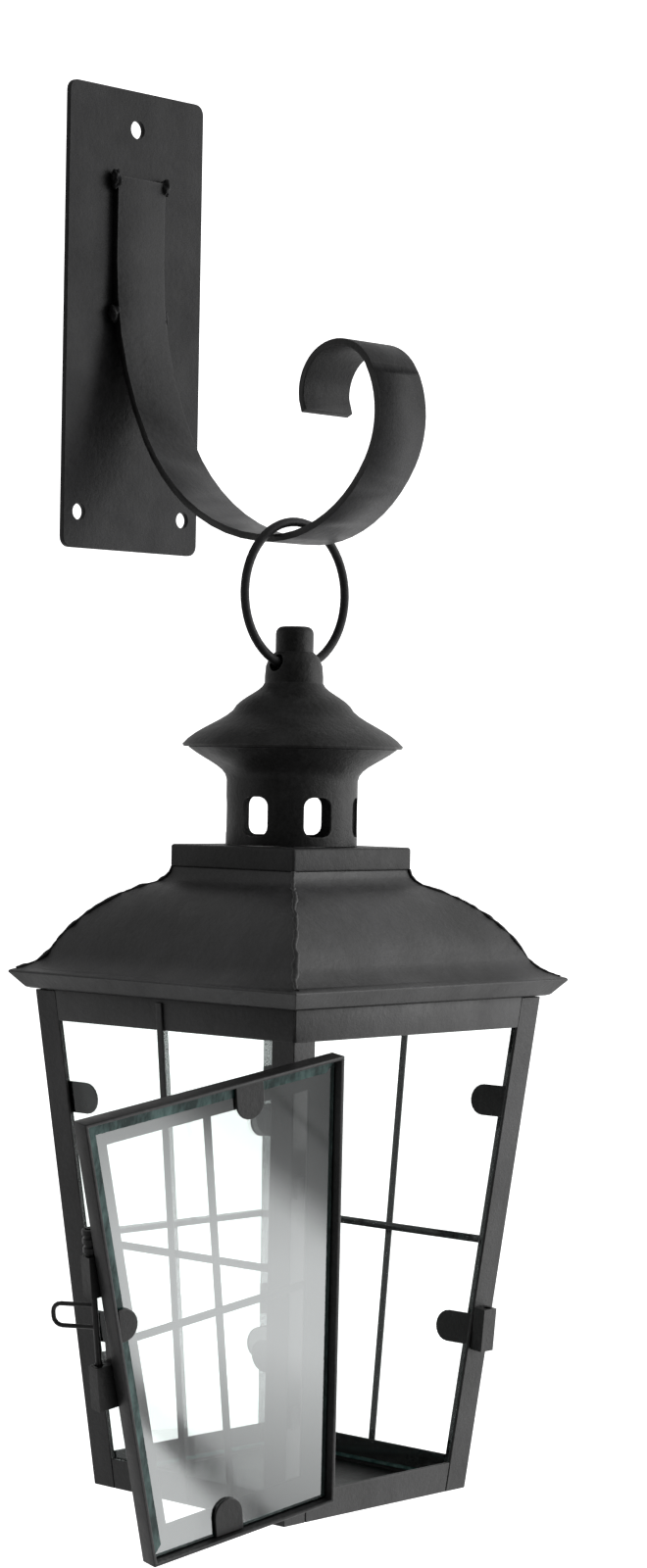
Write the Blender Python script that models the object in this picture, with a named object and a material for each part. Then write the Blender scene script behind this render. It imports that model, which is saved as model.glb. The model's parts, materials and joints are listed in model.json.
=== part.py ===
"""Outdoor wall lantern: a candle lantern that hangs by a ring from a curled strap hook on a wall plate.

All sizes are in millimetres and become metres when a mesh is made. The wall is the plane y = 0, the room
is towards -Y, +Z is up, and the origin is the middle of the wall plate's back.
The four sides of the lantern lean outwards going up. Each side has its own flat frame (see side_frame):
x runs along the side, v runs up its slope from the base, and w points out of the lantern.
"""

from math import acos, cos, degrees, pi, radians, sin, sqrt, tan

import bmesh
import bpy
from mathutils import Matrix, Vector

MM = 0.001
GAP = 0.3  # between two pieces that touch

# Wall plate
PLATE_W, PLATE_H, PLATE_T = 80.0, 200.0, 2.5
PLATE_CORNER_R = 4.5
PLATE_HOLES = ((0.0, 83.5, 3.9), (-31.0, -84.5, 3.5), (31.0, -84.5, 3.5))  # x, z, radius

# Strap hook: straight on the plate, then arcs of (radius of its outer face, angle) that close into a curl
STRAP_W, STRAP_T = 28.0, 3.0
STRAP_TOP, STRAP_ARC_START = 61.5, 25.0
STRAP_ARCS = ((159.0, 30.0), (90.0, 60.0), (61.0, 60.0), (40.0, 60.0), (22.0, 90.0), (20.0, 86.0))
STRAP_STEP = 6.0
WELD_Z = (60.0, 2.0)
WELD_SIZE = (1.5, 1.3, 3.0)

# Hanging ring, and the lantern's axis below the lowest point of the hook
LANTERN_Y = -102.0
STRAP_LOW = -99.5
RING_R, RING_WIRE_R = 30.1, 1.9

# Cap, chimney, collar and roof: heights going down
CAP_TOP = -134.0
NUB_R, NUB_EDGE_R, NECK_R, CAP_R = 7.9, 3.0, 12.2, 46.0
NECK_HOLE_R = 3.6
NECK_TOP, NECK_BOTTOM = -147.0, -157.5
BRIM_Z = -183.5
SHEET_T = 1.4
CHIMNEY_R, CHIMNEY_T, CHIMNEY_BOTTOM = 27.3, 1.2, -224.8
CHIMNEY_FLARE = -198.0
SLOT_W, SLOT_TOP, SLOT_BOTTOM, SLOT_CORNER_R = 12.4, -204.8, -221.0, 4.0
SLOT_TURNS = (28.8, 73.2, 128.6, 189.1, 247.4, 303.6)  # punched by hand, so unevenly spaced
COLLAR_HALF, COLLAR_TOP, COLLAR_BOTTOM, COLLAR_HOLE_HALF = 35.5, -225.1, -234.0, 17.5
ROOF_NECK_HALF = 34.9
EAVE_HALF, EAVE_Z, LIP_HALF, LIP_Z = 82.7, -278.4, 75.2, -286.0

# Cage
BASE_Z, BASE_HALF = -491.7, 54.5
CAGE_TOP_Z, CAGE_TOP_HALF = -286.3, 74.3
FLANGE, SHEET = 12.0, 1.5
TOP_RAIL_BOTTOM, BOTTOM_RAIL_TOP = -298.7, -479.5
FLOOR_CLEARANCE = 0.5

# Glass, bars and clips
GLASS_T, PANE_INSET, PANE_LIFT, PANE_DROP = 2.5, 6.4, 3.0, 2.0
BAR_W, BAR_T, BAR_END, MIDDLE_Z = 3.2, 1.2, 1.0, -389.0
CLIP_W, CLIP_T, CLIP_REACH = 13.0, 1.2, 22.0
SIDE_CLIP_Z, BACK_CLIP_Z = (-331.0, -426.0), (-349.0, -444.0)

# Door: it closes between the front posts and rails, and its hinge pins stand out in front of the post
DOOR_GAP, DOOR_TOP, DOOR_BOTTOM, DOOR_DEPTH = 1.0, -300.5, -477.5, 8.0
DOOR_OPEN = 189.0
DOOR_CLIP_REACH, DOOR_CLIP_TOP_X, DOOR_CLIP_BOTTOM_X = 14.0, -16.0, 6.0
STILE_CLIP_REACH, STILE_CLIP_Z = 8.5, -381.0
DOOR_GLASS_GAP = 0.5
PIN_OUT, PIN_R, BORE_R = 5.5, 1.5, 1.8
KNUCKLE_R, HINGE_HALF, LEAF_REACH, LEAF_T, LEAF_FOOT = 3.6, 9.0, 10.5, 1.8, 0.6
HINGE_Z = (-350.0, -442.0)

# Latch: a drop bolt runs in two guides on the door's free stile and falls into a keeper on the post.
# It is modelled lifted.
BOLT_X, BOLT_OUT, BOLT_R, BOLT_HOLE_R = 54.0, 3.4, 1.2, 1.7
BOLT_TOP, BOLT_BOTTOM = -343.5, -413.6
GUIDE_OUT = 6.0
UPPER_GUIDE = (43.4, 57.0, -370.0, -354.0)  # x0, x1, bottom, top
SLEEVE_H, SLEEVE_R, SLEEVE_RING_R, SLEEVE_RINGS = 10.2, 2.3, 2.9, 3
LOWER_GUIDE = (39.0, 57.0, -414.0, -397.0)
GUIDE_NECK = (43.0, 49.0, -390.0)  # x0, x1, top
KEEPER = (49.6, 57.2, -432.5, -414.9)
LOOP_REACH, LOOP_TOP, LOOP_BOTTOM, LOOP_CORNER_R, LOOP_WIRE_R = 16.8, -373.6, -382.2, 3.4, 0.9
LOOP_TURN = 55.0  # the loop stands out from the door by this much, so that a finger can catch it

LEAN = (CAGE_TOP_HALF - BASE_HALF) / (CAGE_TOP_Z - BASE_Z)
SLOPE = sqrt(1 + LEAN**2)  # length up a side for each unit of height
UPRIGHT = Matrix.Rotation(-pi / 2, 4, "X")  # turns an object's Z up the slope of its side


def clear_scene():
    for obj in list(bpy.data.objects):
        bpy.data.objects.remove(obj)


def make_material(name, colour, metallic, roughness):
    material = bpy.data.materials.new(name)
    material.use_nodes = True
    shader = material.node_tree.nodes["Principled BSDF"]
    shader.inputs["Base Color"].default_value = (*colour, 1)
    shader.inputs["Metallic"].default_value = metallic
    shader.inputs["Roughness"].default_value = roughness
    material.diffuse_color = (*colour, 1)
    material.metallic = metallic
    material.roughness = roughness
    return material


def add_object(name, bm, material, matrix=None, parent=None, smooth=False, helper=False):
    """Turns a bmesh in millimetres into an object, placed by a matrix whose translation is in metres."""
    bmesh.ops.remove_doubles(bm, verts=bm.verts, dist=1e-4)
    bmesh.ops.recalc_face_normals(bm, faces=bm.faces)
    bmesh.ops.scale(bm, vec=(MM, MM, MM), verts=bm.verts)
    mesh = bpy.data.meshes.new(name)
    bm.to_mesh(mesh)
    bm.free()
    obj = bpy.data.objects.new(name, mesh)
    bpy.context.scene.collection.objects.link(obj)
    obj.parent = parent
    obj.matrix_local = matrix or Matrix()
    if material:
        mesh.materials.append(material)
    if smooth:
        mesh.shade_smooth()
        mesh.set_sharp_from_angle(angle=radians(35))
    if helper:
        obj.hide_render = True
        obj.display_type = "WIRE"
    return obj


def add_boolean(obj, tool, operation):
    modifier = obj.modifiers.new(tool.name, "BOOLEAN")
    modifier.operation = operation
    modifier.object = tool
    modifier.solver = "EXACT"


def extrude_outline(bm, outline, w0, w1, axes="xyz"):
    """Adds a closed prism: an outline in two axes, carried along the third from w0 to w1."""
    order = ["xyz".index(axis) for axis in axes]

    def point(a, b, c):
        place = [0, 0, 0]
        for axis, value in zip(order, (a, b, c)):
            place[axis] = value
        return Vector(place)

    face = bm.faces.new([bm.verts.new(point(a, b, w0)) for a, b in outline])
    result = bmesh.ops.extrude_face_region(bm, geom=[face])
    moved = [item for item in result["geom"] if isinstance(item, bmesh.types.BMVert)]
    bmesh.ops.translate(bm, vec=point(0, 0, w1 - w0), verts=moved)


def prism(name, outline, w0, w1, material, axes="xyz", **placing):
    bm = bmesh.new()
    extrude_outline(bm, outline, w0, w1, axes)
    return add_object(name, bm, material, **placing)


def spun(name, profile, steps, material, closed=False, square=False, **placing):
    """Spins a profile of (radius, z) about Z. A square piece is the same thing with four corners."""
    bm = bmesh.new()
    across = (1, 1) if square else (1, 0)
    verts = [bm.verts.new((r * across[0], r * across[1], z)) for r, z in profile]
    edges = [bm.edges.new(pair) for pair in zip(verts, verts[1:])]
    if closed:
        edges.append(bm.edges.new((verts[-1], verts[0])))
    bmesh.ops.spin(bm, geom=verts + edges, axis=(0, 0, 1), angle=2 * pi, steps=steps, use_merge=True)
    return add_object(name, bm, material, smooth=not square, **placing)


def cylinder(name, radius, start, end, material=None, sides=24, **placing):
    """A cylinder between two points."""
    bm = bmesh.new()
    axis = Vector(end) - Vector(start)
    turn = Vector((0, 0, 1)).rotation_difference(axis).to_matrix().to_4x4()
    matrix = Matrix.Translation((Vector(start) + Vector(end)) / 2) @ turn
    bmesh.ops.create_cone(
        bm, cap_ends=True, segments=sides, radius1=radius, radius2=radius, depth=axis.length, matrix=matrix
    )
    return add_object(name, bm, material, smooth=bool(material), **placing)


def arc(centre, radius, start, end, steps):
    """Points of an arc between two angles in degrees."""
    angles = [radians(start + (end - start) * i / steps) for i in range(steps + 1)]
    return [(centre[0] + radius * cos(a), centre[1] + radius * sin(a)) for a in angles]


def rounded_rectangle(x0, x1, y0, y1, radius, steps=5):
    outline = []
    corners = ((x1, y1, 0), (x0, y1, 90), (x0, y0, 180), (x1, y0, 270))
    for x, y, start in corners:
        centre = (x - radius if x == x1 else x + radius, y - radius if y == y1 else y + radius)
        outline += arc(centre, radius, start, start + 90, steps)
    return outline


def box_outline(x0, x1, y0, y1):
    return [(x0, y0), (x1, y0), (x1, y1), (x0, y1)]


def bezier(points, steps):
    """Points of a cubic curve, without its first."""
    a, b, c, d = (Vector(p) for p in points)
    found = []
    for i in range(1, steps + 1):
        t = i / steps
        found.append(tuple((1 - t) ** 3 * a + 3 * t * (1 - t) ** 2 * b + 3 * t**2 * (1 - t) * c + t**3 * d))
    return found


# --- Places -------------------------------------------------------------------------------------------


def half_at(v):
    """Half the width of a side, at a length v up its slope."""
    return BASE_HALF + LEAN * v / SLOPE


def up_slope(z):
    return (z - BASE_Z) * SLOPE


def side_frame(turn):
    """The flat frame of one side: 0 is the front, and 90, 180 and 270 are the right, back and left."""
    along, up, out = Vector((1, 0, 0)), Vector((0, -LEAN, 1)) / SLOPE, Vector((0, -1, -LEAN)) / SLOPE
    flat = Matrix((along, up, out)).transposed().to_4x4()
    flat.translation = Vector((0, -BASE_HALF, BASE_Z)) * MM
    return Matrix.Translation((0, LANTERN_Y * MM, 0)) @ Matrix.Rotation(radians(turn), 4, "Z") @ flat


def trapezoid(v0, v1, inset):
    a0, a1 = half_at(v0) - inset, half_at(v1) - inset
    return [(-a0, v0), (a0, v0), (a1, v1), (-a1, v1)]


def hinge_line(z):
    """The point of the door's hinge axis at a height, in the front side's frame."""
    v = up_slope(z)
    return Vector((-half_at(v) + FLANGE, v, PIN_OUT))


def hinge_axis():
    """The door's hinge axis, in the front side's frame. It leans with the post."""
    return Vector((-LEAN / SLOPE, 1, 0)).normalized()


# --- Bracket and ring ---------------------------------------------------------------------------------


def build_plate(iron):
    outline = rounded_rectangle(-PLATE_W / 2, PLATE_W / 2, -PLATE_H / 2, PLATE_H / 2, PLATE_CORNER_R)
    plate = prism("wall_plate", outline, -PLATE_T, 0, iron, axes="xzy")
    for number, (x, z, radius) in enumerate(PLATE_HOLES, 1):
        cutter = cylinder(f"cutter_screw_hole_{number}", radius, (x, 5, z), (x, -10, z), helper=True)
        add_boolean(plate, cutter, "DIFFERENCE")


def strap_path():
    """The strap's outer face as (y, z, heading): down the plate, out, and round into the curl."""
    y, z, heading = -PLATE_T - GAP, STRAP_ARC_START, radians(-90)
    path = [(y, STRAP_TOP, heading), (y, z, heading)]
    for radius, sweep in STRAP_ARCS:
        steps = round(sweep / STRAP_STEP)
        turn = radians(sweep / steps)
        for _ in range(steps):
            centre_y, centre_z = y - radius * -sin(heading), z + radius * cos(heading)
            heading += turn
            y, z = centre_y - radius * sin(heading), centre_z - radius * cos(heading)
            path.append((y, z, heading))
    return path


def build_strap(iron):
    path = strap_path()
    outer = [(y, z) for y, z, _ in path]
    inner = [(y + STRAP_T * sin(turn), z + STRAP_T * cos(turn)) for y, z, turn in path]
    outline = outer + inner[::-1]
    half = STRAP_W / 2
    strap = prism("hook_strap", outline, -half, half, iron, axes="yzx")
    strap.data.shade_smooth()
    strap.data.set_sharp_from_angle(angle=radians(35))
    across = half + GAP + WELD_SIZE[0]
    for z in WELD_Z:
        height = "upper" if z == WELD_Z[0] else "lower"
        for side, x in (("left", -across), ("right", across)):
            bm = bmesh.new()
            bmesh.ops.create_icosphere(bm, subdivisions=2, radius=1)
            bmesh.ops.scale(bm, vec=WELD_SIZE, verts=bm.verts)
            bmesh.ops.translate(bm, vec=(x, -PLATE_T - GAP - WELD_SIZE[1], z), verts=bm.verts)
            add_object(f"strap_weld_{height}_{side}", bm, iron, smooth=True)


def ring_centre_z():
    """The ring rests on both edges of the strap, so its top stands above the strap by the arc's rise."""
    inner = RING_R - RING_WIRE_R
    return STRAP_LOW + STRAP_T + GAP - sqrt(inner**2 - (STRAP_W / 2) ** 2)


def build_ring(iron):
    bm = bmesh.new()
    place = Matrix.Translation((RING_R, 0, 0))
    section = bmesh.ops.create_circle(bm, segments=12, radius=RING_WIRE_R, matrix=place)["verts"]
    geometry = section + list({edge for vert in section for edge in vert.link_edges})
    bmesh.ops.spin(bm, geom=geometry, axis=(0, 1, 0), angle=2 * pi, steps=56, use_merge=True)
    place = Matrix.Translation(Vector((0, LANTERN_Y, ring_centre_z())) * MM)
    add_object("hanging_ring", bm, iron, matrix=place, smooth=True)


# --- Cap, chimney, collar and roof --------------------------------------------------------------------


def cap_profile():
    """From the crown down the outside to the brim, then back up the hollow underside."""
    crown = [(0, CAP_TOP)] + arc((NUB_R - NUB_EDGE_R, CAP_TOP - NUB_EDGE_R), NUB_EDGE_R, 90, 0, 4)
    neck = [(NUB_R, -144.6), (10.4, NECK_TOP), (11.8, -150.5), (NECK_R, -155.0), (NECK_R, NECK_BOTTOM)]
    bell = bezier(((NECK_R, NECK_BOTTOM), (13.4, -161.5), (22.5, -163.5), (25.2, -169.2)), 7)
    skirt = bezier(((25.2, -169.2), (30.0, -174.0), (41.0, -177.0), (CAP_R, BRIM_Z)), 7)
    rim = [(CAP_R - 0.8, BRIM_Z - 1.0), (CAP_R - 2.0, BRIM_Z - 0.6)]
    inside = [(40.6, -179.7), (31.0, -175.6), (24.2, -171.4), (20.5, -166.6), (0, -164.5)]
    return crown + neck + bell + skirt + rim + inside


def build_cap(iron, at_axis):
    cap = spun("finial_cap", cap_profile(), 48, iron, matrix=at_axis)
    lowest = ring_centre_z() - RING_R - RING_WIRE_R
    hole_z = lowest - GAP + NECK_HOLE_R
    ends = [(side * 2 * NECK_R, LANTERN_Y, hole_z) for side in (-1, 1)]
    cutter = cylinder("cutter_neck_hole", NECK_HOLE_R, *ends, helper=True)
    add_boolean(cap, cutter, "DIFFERENCE")


def chimney_profile():
    """A tube that flares out under the cap's brim, with an even wall."""
    r = CHIMNEY_R
    outside = [(r, CHIMNEY_BOTTOM), (r, CHIMNEY_FLARE)]
    outside += bezier(((r, CHIMNEY_FLARE), (r + 0.4, -192.5), (36.0, -190.5), (43.4, BRIM_Z - 1.2)), 7)
    t = CHIMNEY_T
    inside = [(42.6, BRIM_Z - 0.9)]
    flare = bezier(((42.6, BRIM_Z - 0.9), (35.0, -188.6), (r - t + 0.4, -191.0), (r - t, CHIMNEY_FLARE)), 7)
    return outside + inside + flare + [(r - t, CHIMNEY_BOTTOM)]


def build_chimney(iron, at_axis):
    chimney = spun("vented_chimney", chimney_profile(), 60, iron, closed=True, matrix=at_axis)
    bm = bmesh.new()
    outline = rounded_rectangle(-SLOT_W / 2, SLOT_W / 2, SLOT_BOTTOM, SLOT_TOP, SLOT_CORNER_R)
    for turned in SLOT_TURNS:
        before = set(bm.verts)
        extrude_outline(bm, outline, CHIMNEY_R / 2, CHIMNEY_R + 5, axes="yzx")
        turn = Matrix.Rotation(radians(turned), 3, "Z")
        bmesh.ops.rotate(bm, matrix=turn, verts=[vert for vert in bm.verts if vert not in before])
    cutter = add_object("cutter_vent_slots", bm, None, matrix=at_axis, helper=True)
    add_boolean(chimney, cutter, "DIFFERENCE")


def build_collar(iron, at_axis):
    h, hole, t = COLLAR_HALF, COLLAR_HOLE_HALF, SHEET
    profile = [(h, COLLAR_BOTTOM), (h, COLLAR_TOP), (hole, COLLAR_TOP)]
    profile += [(hole, COLLAR_TOP - t), (h - t, COLLAR_TOP - t), (h - t, COLLAR_BOTTOM)]
    spun("roof_collar", profile, 4, iron, closed=True, square=True, matrix=at_axis)


def roof_profile(offset):
    """The ogee from the collar to the eave. A positive offset gives the inner face of the sheet."""
    top, turn, low = (ROOF_NECK_HALF, COLLAR_BOTTOM - GAP), (41.5, -241.8), (70.4, -270.2)
    curve = [top]
    curve += bezier((top, (35.2, -238.0), (37.8, -240.6), turn), 4)
    curve += bezier((turn, (52.0, -245.6), (64.5, -256.5), low), 8)
    curve += bezier((low, (72.8, -274.6), (76.5, -276.4), (EAVE_HALF - 0.6, EAVE_Z)), 5)
    if not offset:
        return curve
    inner = [(ROOF_NECK_HALF - offset, top[1])]
    for before, here, after in zip(curve, curve[1:], curve[2:]):
        along = (Vector(after) - Vector(before)).normalized()
        inner.append((here[0] + along.y * offset, here[1] - along.x * offset))
    return inner


def build_roof(iron, at_axis):
    t = SHEET_T
    eave = [(EAVE_HALF, EAVE_Z - 0.7), (LIP_HALF + 2.2, LIP_Z + 0.7), (LIP_HALF, LIP_Z)]
    lip = [(LIP_HALF - 0.6, LIP_Z + t), (LIP_HALF + 1.2, LIP_Z + t + 0.7), (EAVE_HALF - 3, EAVE_Z - 1.6)]
    profile = roof_profile(0) + eave + lip + roof_profile(t)[::-1]
    spun("roof", profile, 4, iron, closed=True, square=True, matrix=at_axis)


# --- Cage ---------------------------------------------------------------------------------------------


def build_posts(iron):
    height = CAGE_TOP_Z - BASE_Z
    a, b, c = BASE_HALF, BASE_HALF - FLANGE, BASE_HALF - SHEET
    outline = [(a, a), (b, a), (b, c), (c, c), (c, b), (a, b)]
    corners = {"front_left": (-1, -1), "front_right": (1, -1), "back_right": (1, 1), "back_left": (-1, 1)}
    for name, (sx, sy) in corners.items():
        bm = bmesh.new()
        face = bm.faces.new([bm.verts.new((sx * x, sy * y + LANTERN_Y, BASE_Z)) for x, y in outline])
        result = bmesh.ops.extrude_face_region(bm, geom=[face])
        moved = [item for item in result["geom"] if isinstance(item, bmesh.types.BMVert)]
        rise = Vector((sx * LEAN * height, sy * LEAN * height, height))
        bmesh.ops.translate(bm, vec=rise, verts=moved)
        add_object(f"post_{name}", bm, iron)


def build_rails(iron, name, turn):
    frame = side_frame(turn)
    inset = FLANGE + GAP
    upper = trapezoid(up_slope(TOP_RAIL_BOTTOM), up_slope(CAGE_TOP_Z), inset)
    prism(f"top_rail_{name}", upper, -SHEET, 0, iron, matrix=frame)
    lower = trapezoid(0, up_slope(BOTTOM_RAIL_TOP), inset)
    prism(f"bottom_rail_{name}", lower, -SHEET, 0, iron, matrix=frame)


def build_floor(iron):
    half = BASE_HALF - SHEET - FLOOR_CLEARANCE
    outline = [(x, y + LANTERN_Y) for x, y in box_outline(-half, half, -half, half)]
    prism("floor_plate", outline, BASE_Z, BASE_Z + SHEET, iron)


def clip_outline(reach):
    """A tab with a half-round end, from 0 to its reach along x."""
    r = CLIP_W / 2
    return [(0, -r)] + arc((reach - r, 0), r, -90, 90, 10) + [(0, r)]


def build_fixed_pane(iron, glass, name, turn, clip_heights):
    """One glazed side: the pane behind the posts, its cross of two bars outside, and its clips inside."""
    frame = side_frame(turn)
    glass_out = -SHEET - GAP
    glass_in = glass_out - GLASS_T
    v0, v1 = PANE_LIFT, up_slope(CAGE_TOP_Z) - PANE_DROP
    prism(f"glass_{name}", trapezoid(v0, v1, PANE_INSET), glass_in, glass_out, glass, matrix=frame)
    build_bars(iron, name, matrix=frame)
    clip_out = glass_in - GAP
    number = 0
    for z in clip_heights:
        v = up_slope(z)
        root = half_at(v - CLIP_W / 2) - SHEET - GAP
        for side in (-1, 1):
            number += 1
            outline = [(side * (root - x), v + y) for x, y in clip_outline(CLIP_REACH)]
            clip = f"glass_clip_{name}_{number}"
            prism(clip, outline, clip_out - CLIP_T, clip_out, iron, matrix=frame)


def build_bars(iron, name, **placing):
    """The upright bar lies over the rails. The level bar fits between the stiles or posts."""
    is_door = name == "door"
    v0 = BAR_END + (up_slope(DOOR_BOTTOM) if is_door else 0)
    v1 = up_slope(DOOR_TOP if is_door else CAGE_TOP_Z) - BAR_END
    inset = (2 * FLANGE + DOOR_GAP if is_door else FLANGE) + GAP
    half, middle = BAR_W / 2, up_slope(MIDDLE_Z)
    prism(f"upright_bar_{name}", box_outline(-half, half, v0, v1), GAP, GAP + BAR_T, iron, **placing)
    prism(f"level_bar_{name}", trapezoid(middle - half, middle + half, inset), -BAR_T, 0, iron, **placing)


# --- Door, hinges and latch ---------------------------------------------------------------------------


def add_door_pivot(front):
    """An empty on the hinge axis. Turned as here the door stands open, and a turn of 0 closes it."""
    pivot = bpy.data.objects.new("door_pivot", None)
    bpy.context.scene.collection.objects.link(pivot)
    place = front @ (hinge_line(MIDDLE_Z) * MM)
    axis = front.to_3x3() @ hinge_axis()
    pivot.matrix_world = Matrix.Translation(place) @ Matrix.Rotation(radians(-DOOR_OPEN), 4, axis)
    return pivot, Matrix.Translation(-place) @ front


def build_door(iron, glass, pivot, closed):
    """closed is the front side's frame as the pivot sees it, so each piece is drawn in its shut place."""
    placing = {"matrix": closed, "parent": pivot}
    v0, v1, edge = up_slope(DOOR_BOTTOM), up_slope(DOOR_TOP), FLANGE + DOOR_GAP
    section = [(0, 0), (FLANGE, 0), (FLANGE, -SHEET)]
    section += [(SHEET, -SHEET), (SHEET, -DOOR_DEPTH), (0, -DOOR_DEPTH)]
    bm = bmesh.new()
    rings = []
    for corner in range(4):
        ring = []
        for inset, w in section:
            x, v = trapezoid(v0 + inset, v1 - inset, edge + inset)[corner]
            ring.append(bm.verts.new((x, v, w)))
        rings.append(ring)
    for here, after in zip(rings, rings[1:] + rings[:1]):
        for i in range(len(section)):
            j = (i + 1) % len(section)
            bm.faces.new((here[i], here[j], after[j], after[i]))
    add_object("door_frame", bm, iron, **placing)

    inset = SHEET + DOOR_GLASS_GAP
    outline = trapezoid(v0 + inset, v1 - inset, edge + inset)
    glass_out = -SHEET - GAP
    prism("door_glass", outline, glass_out - GLASS_T, glass_out, glass, **placing)
    build_bars(iron, "door", **placing)

    root, clip_out = SHEET + GAP, glass_out - GLASS_T - GAP
    tab, short_tab = clip_outline(DOOR_CLIP_REACH), clip_outline(STILE_CLIP_REACH)
    v = up_slope(STILE_CLIP_Z)
    stile = half_at(v - CLIP_W / 2) - edge - root
    clips = {
        "top": [(DOOR_CLIP_TOP_X + y, v1 - root - x) for x, y in tab],
        "bottom": [(DOOR_CLIP_BOTTOM_X + y, v0 + root + x) for x, y in tab],
        "stile": [(stile - x, v + y) for x, y in short_tab],
    }
    for name, outline in clips.items():
        prism(f"door_clip_{name}", outline, clip_out - CLIP_T, clip_out, iron, **placing)


def hinge_section(side):
    """A leaf that lies on the frame and runs into a round knuckle. side is -1 on the post, 1 on the door."""
    under = PIN_OUT - GAP  # the leaf's back
    top = under - LEAF_T
    half = KNUCKLE_R * sin(acos(top / KNUCKLE_R))
    start = degrees(acos(half / KNUCKLE_R))
    leaf = [(LEAF_REACH, under), (LEAF_REACH, top)]
    round_part = arc((0, 0), KNUCKLE_R, start, start - (360 - 2 * (90 - start)), 20)
    foot = [(-LEAF_FOOT, under)]
    return [(side * x, y) for x, y in leaf + round_part + foot]


def build_hinges(iron, front, pivot, closed):
    """Two lift-off hinges: the pin is fixed in the post's knuckle, and the door's knuckle sits over it."""
    axis = hinge_axis()
    inwards = Vector((0, 0, -1))
    turn = Matrix((inwards.cross(axis), inwards, axis)).transposed().to_4x4()
    for name, z in (("upper", HINGE_Z[0]), ("lower", HINGE_Z[1])):
        local = Matrix.Translation(hinge_line(z) * MM) @ turn
        on_post = front @ local
        placing = {"matrix": front @ local}
        post = prism(f"hinge_post_{name}", hinge_section(-1), -HINGE_HALF, -GAP / 2, iron, **placing)
        ends = ((0, 0, -HINGE_HALF / 2), (0, 0, HINGE_HALF - 1))
        pin = cylinder(f"tool_pin_{name}", PIN_R, *ends, helper=True, **placing)
        add_boolean(post, pin, "UNION")
        placing = {"matrix": closed @ local, "parent": pivot}
        door = prism(f"hinge_door_{name}", hinge_section(1), GAP / 2, HINGE_HALF, iron, **placing)
        ends = ((0, 0, -2), (0, 0, HINGE_HALF + 2))
        bore = cylinder(f"cutter_bore_{name}", BORE_R, *ends, helper=True, **placing)
        add_boolean(door, bore, "DIFFERENCE")


def rounded_path(points, radius, steps=4):
    """A path through points, with an arc of the given radius at each inner one."""
    path = [Vector(points[0])]
    for before, here, after in zip(points, points[1:], points[2:]):
        a = (Vector(before) - Vector(here)).normalized()
        b = (Vector(after) - Vector(here)).normalized()
        half = a.angle(b) / 2
        centre = Vector(here) + (a + b).normalized() * radius / sin(half)
        first = (Vector(here) + a * radius / tan(half) - centre).normalized()
        last = (Vector(here) + b * radius / tan(half) - centre).normalized()
        path += [centre + radius * first.slerp(last, i / steps) for i in range(steps + 1)]
    return path + [Vector(points[-1])]


def wire(name, path, radius, sides=10, **placing):
    """A round wire along a flat path, whose plane's normal is the last axis of the path."""
    bm = bmesh.new()
    rings = []
    for i, here in enumerate(path):
        along = (path[min(i + 1, len(path) - 1)] - path[max(i - 1, 0)]).normalized()
        out = Vector((0, 0, 1))
        side = along.cross(out)
        angles = [2 * pi * k / sides for k in range(sides)]
        rings.append([bm.verts.new(here + radius * (cos(a) * side + sin(a) * out)) for a in angles])
    for here, after in zip(rings, rings[1:]):
        for k in range(sides):
            bm.faces.new((here[k], here[k - 1], after[k - 1], after[k]))
    bm.faces.new(rings[0])
    bm.faces.new(rings[-1][::-1])
    return add_object(name, bm, None, **placing)


def add_guide(name, outline, iron, matrix, parent=None, sleeved=False):
    """A block on the frame with an upright hole for the bolt. Its outline is in heights, not lengths."""
    placing = {"matrix": matrix, "parent": parent}
    outline = [(x, up_slope(z)) for x, z in outline]
    guide = prism(name, outline, GAP, GUIDE_OUT, iron, **placing)
    low, high = min(v for _, v in outline), max(v for _, v in outline)
    if sleeved:
        foot = matrix @ Matrix.Translation(Vector((BOLT_X, high, BOLT_OUT)) * MM) @ UPRIGHT
        standing = {"matrix": foot, "parent": parent, "helper": True}
        sleeve = spun("tool_guide_sleeve", sleeve_profile(), 24, None, **standing)
        add_boolean(guide, sleeve, "UNION")
        high += SLEEVE_H
    ends = ((BOLT_X, low - 3, BOLT_OUT), (BOLT_X, high + 3, BOLT_OUT))
    hole = cylinder(f"cutter_{name}", BOLT_HOLE_R, *ends, helper=True, **placing)
    add_boolean(guide, hole, "DIFFERENCE")


def sleeve_profile():
    """A short sleeve with turned rings that stands on the upper guide, its foot sunk into the block."""
    pitch = SLEEVE_H / SLEEVE_RINGS
    profile = [(0, -1), (SLEEVE_R, -1)]
    for ring in range(SLEEVE_RINGS):
        z = ring * pitch
        profile += [(SLEEVE_R, z + 0.9), (SLEEVE_RING_R, z + 1.3), (SLEEVE_RING_R, z + pitch - 0.3)]
        profile.append((SLEEVE_R, z + pitch))
    return profile + [(0, SLEEVE_H)]


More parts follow.
